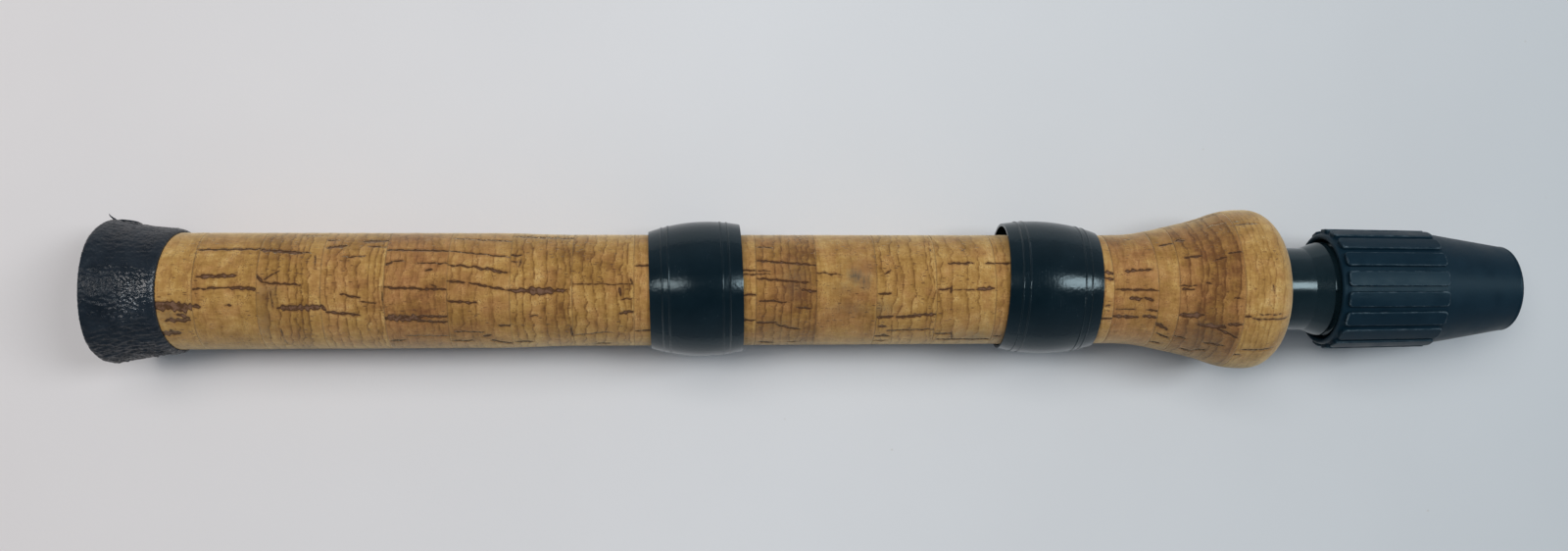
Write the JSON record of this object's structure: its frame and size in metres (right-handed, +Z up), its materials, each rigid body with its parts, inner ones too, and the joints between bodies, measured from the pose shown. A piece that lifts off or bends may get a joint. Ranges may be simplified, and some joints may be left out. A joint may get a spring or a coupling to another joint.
{
  "type": "spinning rod handle",
  "caption": "Detachable cork spinning rod handle with a rubber butt cap, sliding reel rings and a ribbed chuck nut over a split collet.",
  "frame": {"origin": "centre of the rod socket's mouth, at the front face of the collet", "axes": "+X out of the socket along the handle's axis, towards the rod's tip; the butt is at -X; +Z up as the handle lies on a table; +Y across"},
  "size_m": [0.3044, 0.0352, 0.035],
  "materials": {
    "cork": "matt natural cork with dark torn pores",
    "butt_rubber": "matt aged rubber, finely wrinkled",
    "ring_metal": "dark blue-black anodised, satin to glossy",
    "chuck_plastic": "glossy black",
    "nut_plastic": "satin dark blue-black, edges worn",
    "collet_plastic": "natural off-white, satin",
    "tube_metal": "plain drawn tube"
  },
  "bodies": {
    "grip": {"butt_cap": "butt_rubber", "core_tube": "tube_metal", "cork_ring_01": "cork", "cork_ring_02": "cork", "cork_ring_03": "cork", "cork_ring_04": "cork", "cork_ring_05": "cork", "cork_ring_06": "cork", "cork_ring_07": "cork", "cork_ring_08": "cork", "cork_ring_09": "cork", "cork_ring_10": "cork", "cork_ring_11": "cork", "cork_ring_12": "cork", "cork_ring_13": "cork", "cork_ring_14": "cork", "cork_ring_15": "cork", "cork_ring_16": "cork", "cork_ring_17": "cork", "cork_ring_18": "cork", "cork_ring_19": "cork", "cork_ring_20": "cork", "cork_ring_21": "cork", "chuck_body": "chuck_plastic"},
    "rear_ring": {"reel_ring_rear": "ring_metal"},
    "front_ring": {"reel_ring_front": "ring_metal"},
    "collet": {"collet": "collet_plastic"},
    "nut": {"chuck_nut": "nut_plastic"}
  },
  "joints": [
    {"name": "rear_ring_slide", "type": "slide", "parent": "grip", "child": "rear_ring", "axis": [1, 0, 0], "range_m": [-0.014, 0.0275]},
    {"name": "front_ring_slide", "type": "slide", "parent": "grip", "child": "front_ring", "axis": [1, 0, 0], "range_m": [-0.0275, 0]},
    {"name": "collet_slide", "type": "slide", "parent": "grip", "child": "collet", "axis": [1, 0, 0], "range_m": [-0.00301, 0.00601]},
    {"name": "nut_turn", "type": "hinge", "parent": "collet", "child": "nut", "pos_m": [0, 0, 0], "axis": [1, 0, 0], "range_deg": [-540, 1080]}
  ],
  "couplings": [
    {"joint": "collet_slide", "follows": "nut_turn", "m_per_rad": 0.00031831}
  ]
}
